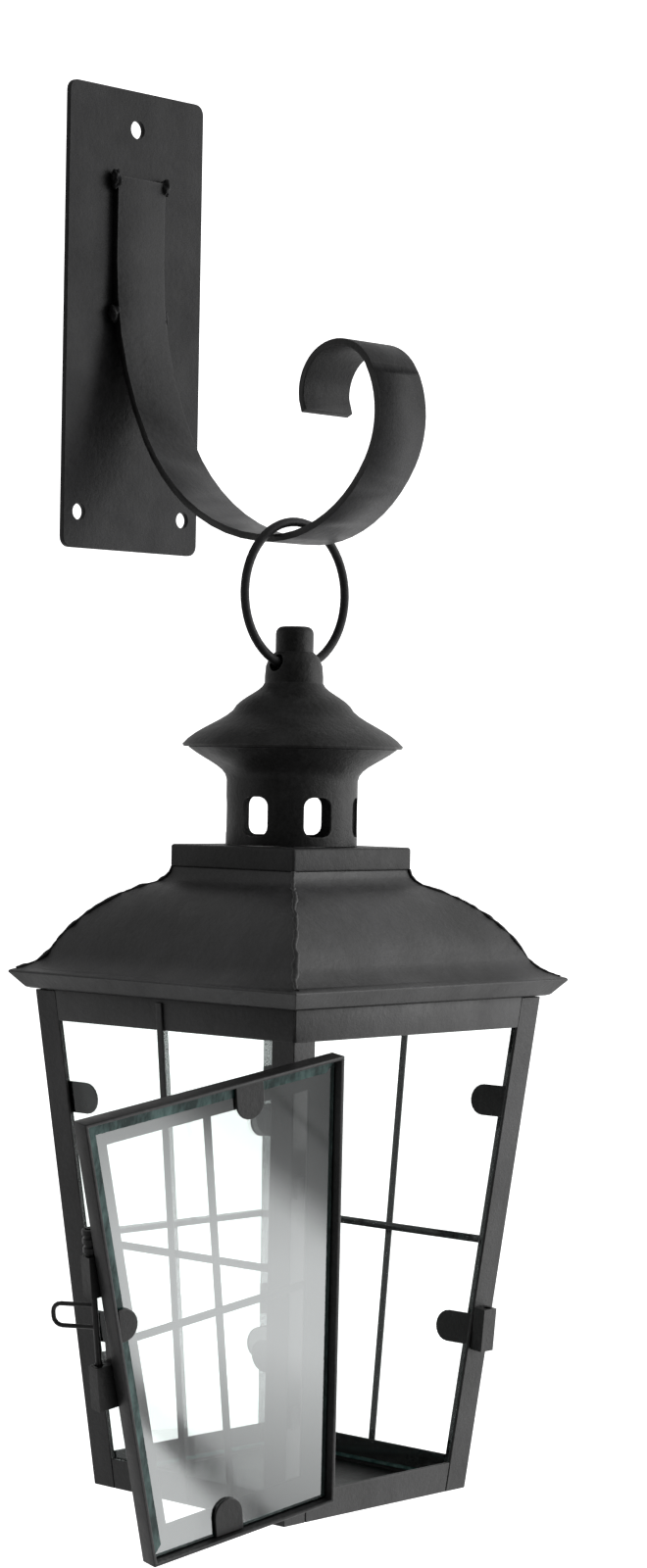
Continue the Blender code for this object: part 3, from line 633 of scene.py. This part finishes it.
def add_softbox(name, place, target, width, height, power):
    data = bpy.data.lights.new(name, "AREA")
    data.shape = "RECTANGLE"
    data.size, data.size_y = width, height
    data.energy = power
    lamp = bpy.data.objects.new(name, data)
    lamp.location = place
    lamp.rotation_mode = "QUATERNION"
    lamp.rotation_quaternion = (Vector(target) - Vector(place)).to_track_quat("-Z", "Y")
    bpy.context.scene.collection.objects.link(lamp)


def add_floor():
    bm = bmesh.new()
    bmesh.ops.create_grid(bm, x_segments=1, y_segments=1, size=30.0)
    floor = finish_mesh("studio_floor", bm, [studio_white("studio_floor", 0.45)])
    floor.visible_glossy = False
    floor.location.z = FLOOR_Z


def add_world():
    """A white studio. The light it casts is bright from the right and behind, and dim from the camera."""
    world = bpy.data.worlds.new("studio")
    world.use_nodes = True
    bpy.context.scene.world = world
    tree = world.node_tree
    tree.nodes.clear()
    direction = tree.nodes.new("ShaderNodeTexCoord").outputs["Generated"]

    def cosine_to(towards):
        dot = tree.nodes.new("ShaderNodeVectorMath")
        dot.operation = "DOT_PRODUCT"
        dot.inputs[1].default_value = Vector(towards).normalized()
        tree.links.new(direction, dot.inputs[0])
        return dot.outputs["Value"]

    def facing(towards, low, high, at_low, at_high):
        return ramp(tree, cosine_to(towards), low, high, at_low, at_high)

    def near(towards, rim, core, most=1.0):
        """The most within core degrees of a direction, 0 beyond rim degrees."""
        return facing(towards, cos(radians(rim)), cos(radians(core)), 0.0, most)

    def product(a, b):
        return maths(tree, "MULTIPLY", a, b)

    def darken(light, amount):
        return product(light, maths(tree, "SUBTRACT", 1.0, amount))

    def stripe(plane, middle, core, rim, depth):
        """How dark a straight thing makes it. It fades out away from its middle."""
        across = ramp(tree, maths(tree, "ABSOLUTE", cosine_to(plane)), core, rim, depth, 0.0)
        return product(across, near(middle, 4.0, 1.5))

    above = (0.0, 0.0, 1.0)
    light = facing((0.72, -0.69, 0.0), -1.0, 1.0, 0.50, 1.80)
    light = product(light, facing((-0.73, -0.69, 0.0), 0.0, 0.9, 1.0, 0.04))
    light = product(light, facing(above, 0.1, 1.0, 1.0, 0.30))
    beside_stand = facing(STAND_PLANE, -0.006, 0.004, 0.15, 1.0)
    light = darken(light, product(near(FLOOR_SHADE, 4.9, 2.2, 0.55), beside_stand))
    light = darken(light, stripe(STAND_PLANE, STAND_MIDDLE, 0.0030, 0.0060, 0.72))
    light = darken(light, stripe(ROD_PLANE, ROD_MIDDLE, 0.0003, 0.0014, 0.55))
    light = darken(light, product(near(CARD_MIDDLE, 11.0, 7.0), facing(above, -0.315, -0.27, 0.0, 0.50)))
    light = darken(light, product(near(CARD_MIDDLE, 9.0, 4.0), facing(CARD_PLANE, -0.008, 0.004, 0.0, 0.72)))
    lit = tree.nodes.new("ShaderNodeBackground")
    lit.inputs["Color"].default_value = (1.0, 1.0, 1.0, 1.0)
    tree.links.new(light, lit.inputs["Strength"])
    seen = tree.nodes.new("ShaderNodeBackground")
    seen.inputs["Color"].default_value = (1.0, 1.0, 1.0, 1.0)
    seen.inputs["Strength"].default_value = BACKGROUND
    path = tree.nodes.new("ShaderNodeLightPath")
    mixed = tree.nodes.new("ShaderNodeMixShader")
    tree.links.new(path.outputs["Is Camera Ray"], mixed.inputs[0])
    tree.links.new(lit.outputs[0], mixed.inputs[1])
    tree.links.new(seen.outputs[0], mixed.inputs[2])
    output = tree.nodes.new("ShaderNodeOutputWorld")
    tree.links.new(mixed.outputs[0], output.inputs["Surface"])


add_camera()
add_floor()
add_world()
add_softbox("key_softbox", (1.9, -2.0, 0.3), (0, -0.1, -0.3), 1.4, 2.2, 24.0)
bpy.context.scene.view_settings.view_transform = "Standard"
